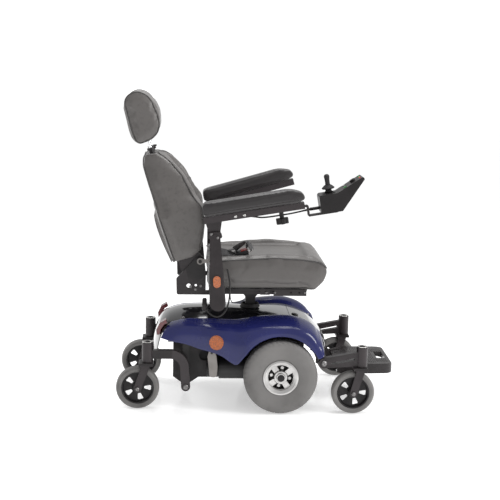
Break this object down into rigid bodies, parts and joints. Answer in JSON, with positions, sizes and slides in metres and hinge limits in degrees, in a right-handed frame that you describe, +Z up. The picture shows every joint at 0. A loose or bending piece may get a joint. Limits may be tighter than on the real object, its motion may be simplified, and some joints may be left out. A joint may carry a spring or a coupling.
{
  "type": "power wheelchair",
  "caption": "Mid-wheel power wheelchair with a reclining captain's seat, headrest, lifting armrests, joystick controller, swivel casters and a folding footplate.",
  "frame": {"origin": "on the floor, at the centre of the footprint's box", "axes": "+X forward, +Y to the sitter's left, +Z up"},
  "size_m": [1.167, 0.6302, 1.2945],
  "materials": {
    "frame_paint": "satin",
    "arm_paint": "satin",
    "battery_case": "matte",
    "motor_case": "satin",
    "module_case": "matte",
    "cover_black": "gloss",
    "panel_blue": "gloss",
    "reflector_orange": "gloss",
    "lamp_red": "gloss",
    "tyre_grey": "matte",
    "rim_silver": "satin",
    "caster_rim_black": "satin",
    "footplate_plastic": "satin",
    "lever_grey": "satin",
    "seat_cover": "matte",
    "pad_skin": "satin",
    "post_cover": "satin",
    "belt_web": "matte",
    "buckle_black": "satin",
    "button_red": "satin",
    "cable_black": "satin",
    "chrome_rod": "polished",
    "housing_black": "satin",
    "boot_rubber": "matte",
    "ring_steel": "satin",
    "button_green": "satin",
    "button_grey": "satin"
  },
  "bodies": {
    "base": {"frame": "frame_paint", "rear_arms": "arm_paint", "batteries": "battery_case", "drive_motors": "motor_case", "control_module": "module_case", "top_cover": "cover_black", "side_panel_right": "panel_blue", "side_panel_left": "panel_blue", "side_reflectors": "reflector_orange", "tail_lights": "lamp_red", "footplate_bracket": "frame_paint"},
    "drive_wheel_right": {"drive_tyre_right": "tyre_grey", "drive_rim_right": "rim_silver"},
    "drive_wheel_left": {"drive_tyre_left": "tyre_grey", "drive_rim_left": "rim_silver"},
    "front_arm_right": {"front_arm_right": "arm_paint"},
    "front_arm_left": {"front_arm_left": "arm_paint"},
    "front_fork_right": {"front_fork_right": "arm_paint"},
    "front_fork_left": {"front_fork_left": "arm_paint"},
    "rear_fork_right": {"rear_fork_right": "arm_paint"},
    "rear_fork_left": {"rear_fork_left": "arm_paint"},
    "front_caster_right": {"front_caster_rim_right": "caster_rim_black", "front_caster_tyre_right": "tyre_grey"},
    "front_caster_left": {"front_caster_rim_left": "caster_rim_black", "front_caster_tyre_left": "tyre_grey"},
    "rear_caster_right": {"rear_caster_rim_right": "caster_rim_black", "rear_caster_tyre_right": "tyre_grey"},
    "rear_caster_left": {"rear_caster_rim_left": "caster_rim_black", "rear_caster_tyre_left": "tyre_grey"},
    "footplate": {"footplate": "footplate_plastic"},
    "brake_lever_right": {"brake_lever_right": "lever_grey"},
    "brake_lever_left": {"brake_lever_left": "lever_grey"},
    "seat": {"seat_post": "frame_paint", "seat_pan": "frame_paint", "seat_cushion": "seat_cover", "recline_brackets": "frame_paint", "arm_posts": "post_cover", "post_reflectors": "reflector_orange", "belt_straps": "belt_web", "belt_buckle": "buckle_black", "cable_loop": "cable_black"},
    "belt_button": {"belt_button": "button_red"},
    "recline_lever": {"recline_lever": "lever_grey"},
    "backrest": {"back_cushion": "seat_cover", "back_frame": "frame_paint"},
    "headrest": {"headrest_cushion": "seat_cover", "headrest_posts": "chrome_rod"},
    "arm_right": {"arm_frame_right": "arm_paint", "arm_pad_right": "pad_skin"},
    "arm_left": {"arm_frame_left": "arm_paint", "arm_pad_left": "pad_skin"},
    "controller": {"controller_housing": "housing_black", "controller_bar": "frame_paint", "controller_cable": "cable_black"},
    "clamp_knob": {"clamp_knob": "housing_black"},
    "gimbal_ring": {"gimbal_ring": "ring_steel"},
    "joystick": {"joystick": "boot_rubber"},
    "power_button": {"power_button": "button_green"},
    "horn_button": {"horn_button": "button_grey"},
    "speed_dial": {"speed_dial": "housing_black"}
  },
  "joints": [
    {"name": "drive_wheel_right_spin", "type": "hinge", "parent": "base", "child": "drive_wheel_right", "pos_m": [0.0915, -0.268, 0.1525], "axis": [0, 1, 0], "continuous": true},
    {"name": "front_arm_right_pivot", "type": "hinge", "parent": "base", "child": "front_arm_right", "pos_m": [0.268, -0.277, 0.212], "axis": [0, 1, 0], "range_deg": [-4, 4], "stiffness_Nm_per_rad": 1500},
    {"name": "front_fork_right_swivel", "type": "hinge", "parent": "front_arm_right", "child": "front_fork_right", "pos_m": [0.4255, -0.277, 0.196], "axis": [0, 0, 1], "continuous": true},
    {"name": "front_caster_right_spin", "type": "hinge", "parent": "front_fork_right", "child": "front_caster_right", "pos_m": [0.3915, -0.277, 0.089], "axis": [0, 1, 0], "continuous": true},
    {"name": "rear_fork_right_swivel", "type": "hinge", "parent": "base", "child": "rear_fork_right", "pos_m": [-0.4545, -0.216, 0.196], "axis": [0, 0, 1], "continuous": true},
    {"name": "rear_caster_right_spin", "type": "hinge", "parent": "rear_fork_right", "child": "rear_caster_right", "pos_m": [-0.4945, -0.216, 0.089], "axis": [0, 1, 0], "continuous": true},
    {"name": "brake_lever_right_turn", "type": "hinge", "parent": "base", "child": "brake_lever_right", "pos_m": [-0.1905, -0.212, 0.234], "axis": [0, 1, 0], "range_deg": [-20, 25]},
    {"name": "drive_wheel_left_spin", "type": "hinge", "parent": "base", "child": "drive_wheel_left", "pos_m": [0.0915, 0.268, 0.1525], "axis": [0, 1, 0], "continuous": true},
    {"name": "front_arm_left_pivot", "type": "hinge", "parent": "base", "child": "front_arm_left", "pos_m": [0.268, 0.277, 0.212], "axis": [0, 1, 0], "range_deg": [-4, 4], "stiffness_Nm_per_rad": 1500},
    {"name": "front_fork_left_swivel", "type": "hinge", "parent": "front_arm_left", "child": "front_fork_left", "pos_m": [0.4255, 0.277, 0.196], "axis": [0, 0, 1], "continuous": true},
    {"name": "front_caster_left_spin", "type": "hinge", "parent": "front_fork_left", "child": "front_caster_left", "pos_m": [0.3915, 0.277, 0.089], "axis": [0, 1, 0], "continuous": true},
    {"name": "rear_fork_left_swivel", "type": "hinge", "parent": "base", "child": "rear_fork_left", "pos_m": [-0.4545, 0.216, 0.196], "axis": [0, 0, 1], "continuous": true},
    {"name": "rear_caster_left_spin", "type": "hinge", "parent": "rear_fork_left", "child": "rear_caster_left", "pos_m": [-0.4945, 0.216, 0.089], "axis": [0, 1, 0], "continuous": true},
    {"name": "brake_lever_left_turn", "type": "hinge", "parent": "base", "child": "brake_lever_left", "pos_m": [-0.1905, 0.212, 0.234], "axis": [0, 1, 0], "range_deg": [-20, 25]},
    {"name": "footplate_fold", "type": "hinge", "parent": "base", "child": "footplate", "pos_m": [0.3515, 0, 0.146], "axis": [0, -1, 0], "range_deg": [0, 90]},
    {"name": "seat_height", "type": "slide", "parent": "base", "child": "seat", "axis": [0, 0, 1], "range_m": [0, 0.05]},
    {"name": "belt_release", "type": "slide", "parent": "seat", "child": "belt_button", "axis": [0.2419, 0, -0.9703], "range_m": [0, 0.003], "stiffness_N_per_m": 300},
    {"name": "recline_release", "type": "hinge", "parent": "seat", "child": "recline_lever", "pos_m": [-0.2435, -0.234, 0.622], "axis": [0, -1, 0], "range_deg": [0, 25], "stiffness_Nm_per_rad": 1, "springref_deg": -20.05},
    {"name": "backrest_recline", "type": "hinge", "parent": "seat", "child": "backrest", "pos_m": [-0.2435, 0, 0.622], "axis": [0, -1, 0], "range_deg": [-55, 15]},
    {"name": "headrest_height", "type": "slide", "parent": "backrest", "child": "headrest", "axis": [-0.309, 0, 0.9511], "range_m": [-0.02, 0.06]},
    {"name": "arm_right_lift", "type": "hinge", "parent": "seat", "child": "arm_right", "pos_m": [-0.1855, -0.268, 0.735], "axis": [0, -1, 0], "range_deg": [0, 85]},
    {"name": "arm_left_lift", "type": "hinge", "parent": "seat", "child": "arm_left", "pos_m": [-0.1855, 0.268, 0.723], "axis": [0, -1, 0], "range_deg": [0, 85]},
    {"name": "controller_reach", "type": "slide", "parent": "arm_right", "child": "controller", "axis": [0.9863, 0, 0.165], "range_m": [-0.005, 0.04]},
    {"name": "clamp_knob_turn", "type": "hinge", "parent": "arm_right", "child": "clamp_knob", "pos_m": [0.08011, -0.268, 0.82], "axis": [-0.165, 0, 0.9863], "range_deg": [-180, 180]},
    {"name": "joystick_pitch", "type": "hinge", "parent": "controller", "child": "gimbal_ring", "pos_m": [0.26895, -0.268, 0.90331], "axis": [0, 1, 0], "range_deg": [-18, 18], "stiffness_Nm_per_rad": 0.6},
    {"name": "joystick_roll", "type": "hinge", "parent": "gimbal_ring", "child": "joystick", "pos_m": [0.26895, -0.268, 0.90331], "axis": [0.9863, 0, 0.165], "range_deg": [-18, 18], "stiffness_Nm_per_rad": 0.6},
    {"name": "power_press", "type": "slide", "parent": "controller", "child": "power_button", "axis": [0.5519, 0, -0.8339], "range_m": [0, 0.0015], "stiffness_N_per_m": 400},
    {"name": "horn_press", "type": "slide", "parent": "controller", "child": "horn_button", "axis": [0.5519, 0, -0.8339], "range_m": [0, 0.0015], "stiffness_N_per_m": 400},
    {"name": "speed_turn", "type": "hinge", "parent": "controller", "child": "speed_dial", "pos_m": [0.36193, -0.268, 0.96118], "axis": [-0.5519, 0, 0.8339], "range_deg": [-135, 135]}
  ]
}
